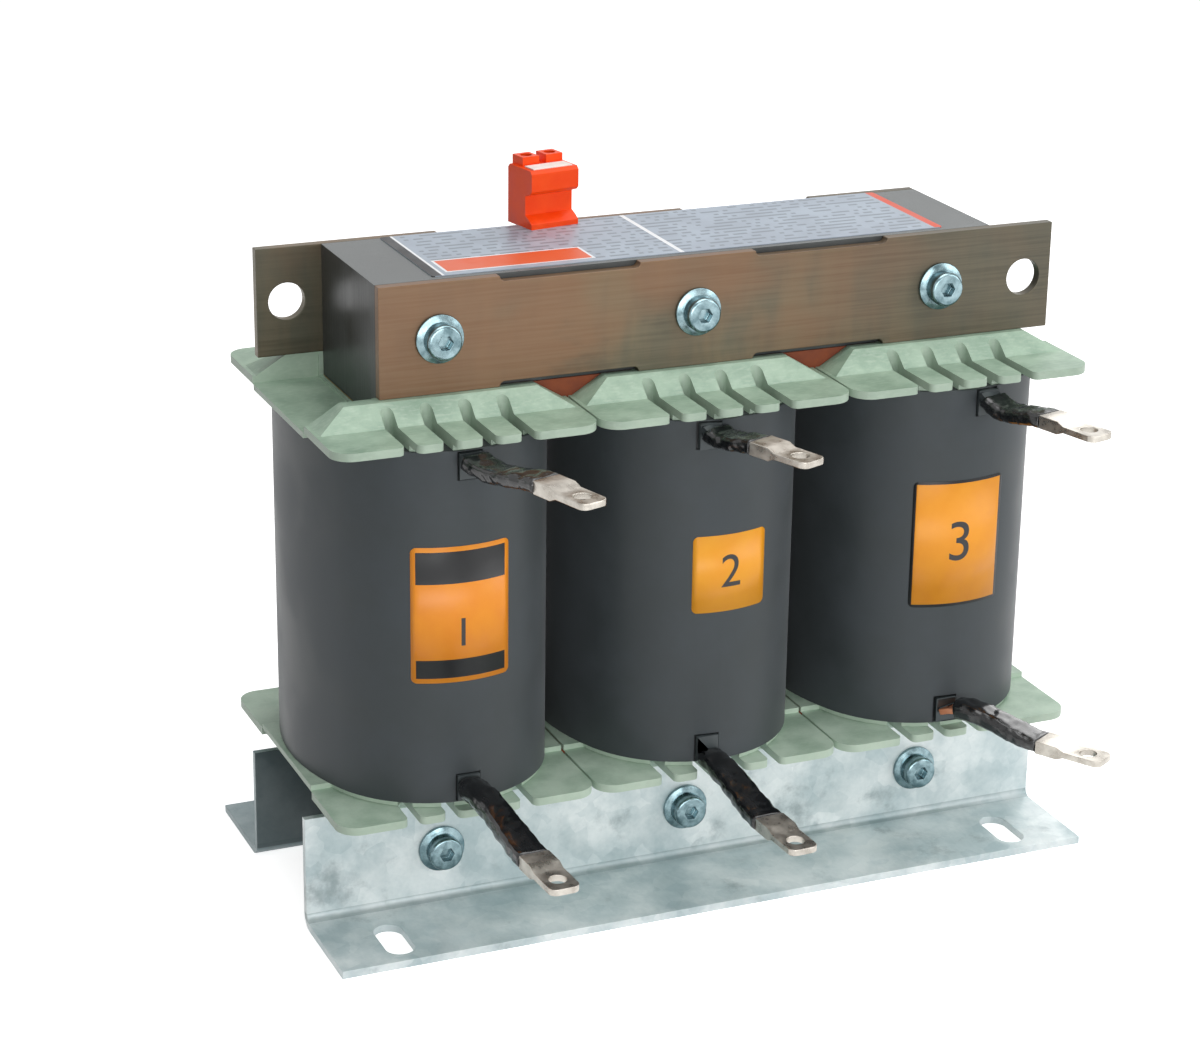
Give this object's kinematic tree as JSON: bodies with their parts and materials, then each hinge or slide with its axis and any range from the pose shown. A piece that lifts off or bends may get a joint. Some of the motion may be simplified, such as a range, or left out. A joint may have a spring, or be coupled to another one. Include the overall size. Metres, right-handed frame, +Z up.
{
  "type": "three-phase harmonic filter reactor",
  "caption": "Iron-core filter reactor: grey foil windings in a row on a clamped gapped core, green end flanges, slotted foot angles and sleeved leads with lugs.",
  "frame": {"origin": "on the floor under the middle of the core, midway between the two foot angles", "axes": "+X along the row of windings, to the right seen from the front; -Y to the front with the leads; +Z up"},
  "size_m": [0.306, 0.2215, 0.2694],
  "materials": {
    "core_steel": "varnished electrical steel laminations",
    "spacer": "glass laminate",
    "former": "insulating laminate",
    "foil": "wound foil",
    "wrap": "smooth dark grey insulating wrap",
    "flange": "pale green glass-filled moulding",
    "pressboard": "red-brown pressboard",
    "bar_steel": "brown and olive passivated steel",
    "galvanised": "galvanised steel with spangle",
    "zinc": "blue passivated zinc plate",
    "tube": "insulating tube",
    "copper": "bare copper foil",
    "sleeve": "black shrunk sleeve",
    "tinned": "tinned copper",
    "block": "orange-red moulding",
    "brass_cage": "brass",
    "screw": "plated steel"
  },
  "bodies": {
    "root": {"lower_yoke": "core_steel", "upper_yoke": "core_steel", "leg_blocks_left": "core_steel", "leg_blocks_middle": "core_steel", "leg_blocks_right": "core_steel", "gap_spacers": "spacer", "former_left": "former", "former_middle": "former", "former_right": "former", "foil_winding_left": "foil", "foil_winding_middle": "foil", "foil_winding_right": "foil", "outer_wrap_left": "wrap", "outer_wrap_middle": "wrap", "outer_wrap_right": "wrap", "upper_flange_left": "flange", "upper_flange_middle": "flange", "upper_flange_right": "flange", "lower_flange_left": "flange", "lower_flange_middle": "flange", "lower_flange_right": "flange", "upper_liners": "pressboard", "lower_liners": "pressboard", "clamp_bar_front": "bar_steel", "clamp_bar_back": "bar_steel", "foot_angle_front": "galvanised", "foot_angle_back": "galvanised", "upper_bolts": "zinc", "lower_bolts": "zinc", "upper_bolt_tubes": "tube", "lower_bolt_tubes": "tube", "upper_washers": "zinc", "lower_washers": "zinc", "upper_nuts": "zinc", "lower_nuts": "zinc", "lower_tail_left": "copper", "lower_tail_middle": "copper", "lower_tail_right": "copper", "upper_tail_left": "copper", "upper_tail_middle": "copper", "upper_tail_right": "copper", "lower_sleeve_left": "sleeve", "lower_sleeve_middle": "sleeve", "lower_sleeve_right": "sleeve", "upper_sleeve_left": "sleeve", "upper_sleeve_middle": "sleeve", "upper_sleeve_right": "sleeve", "lower_lug_left": "tinned", "lower_lug_middle": "tinned", "lower_lug_right": "tinned", "upper_lug_left": "tinned", "upper_lug_middle": "tinned", "upper_lug_right": "tinned", "terminal_block": "block", "terminal_screws": "screw", "terminal_cages": "brass_cage"}
  },
  "joints": []
}
